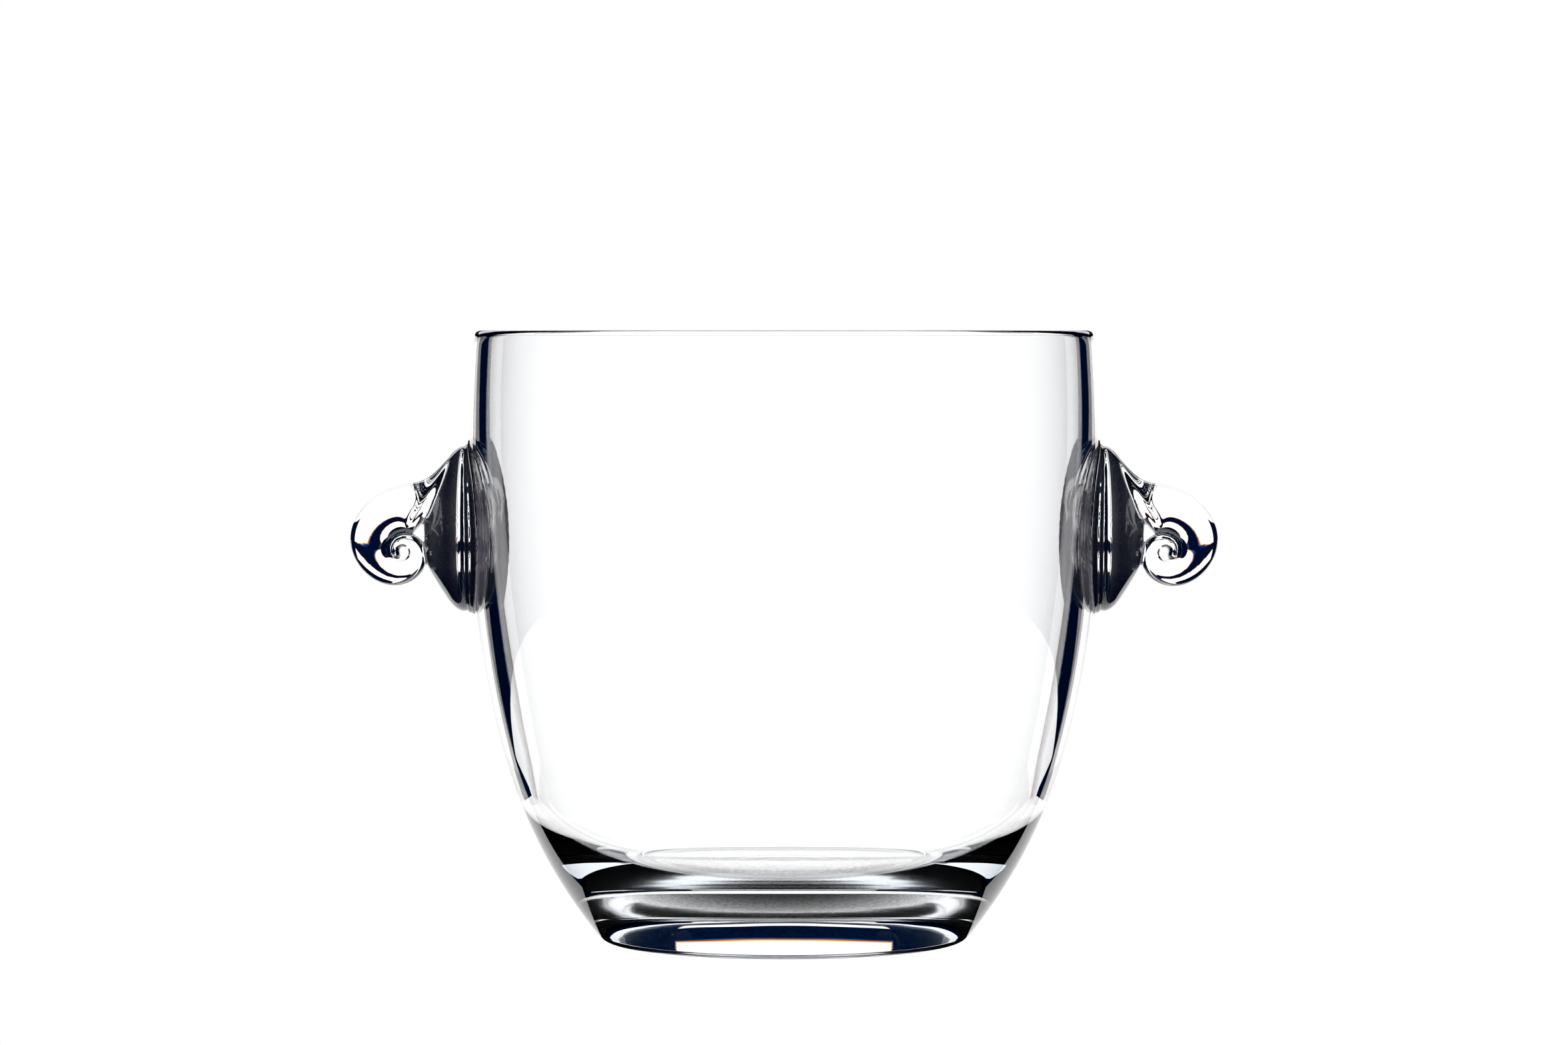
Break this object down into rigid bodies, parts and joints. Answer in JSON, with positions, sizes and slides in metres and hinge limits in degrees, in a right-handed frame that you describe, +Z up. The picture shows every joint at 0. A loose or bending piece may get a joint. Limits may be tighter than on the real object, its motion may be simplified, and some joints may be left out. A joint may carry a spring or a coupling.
{
  "type": "champagne bucket",
  "caption": "Clear thick-walled glass champagne bucket with a heavy solid base and rolled horn handles on round flanges.",
  "frame": {"origin": "centre of the foot, on the surface it stands on", "axes": "+Z up along the vessel's axis, +X towards the right-hand handle as seen from -Y"},
  "size_m": [0.3146, 0.2262, 0.22],
  "materials": {
    "vessel_glass": "polished, clear and colourless",
    "handle_glass": "fire-polished, clear and colourless, faint draw lines",
    "bond_film": "translucent grey-lilac adhesive with fine bubbles"
  },
  "bodies": {
    "root": {"bucket": "vessel_glass", "left_handle": "handle_glass", "right_handle": "handle_glass", "left_handle_bond": "bond_film", "right_handle_bond": "bond_film"}
  },
  "joints": []
}
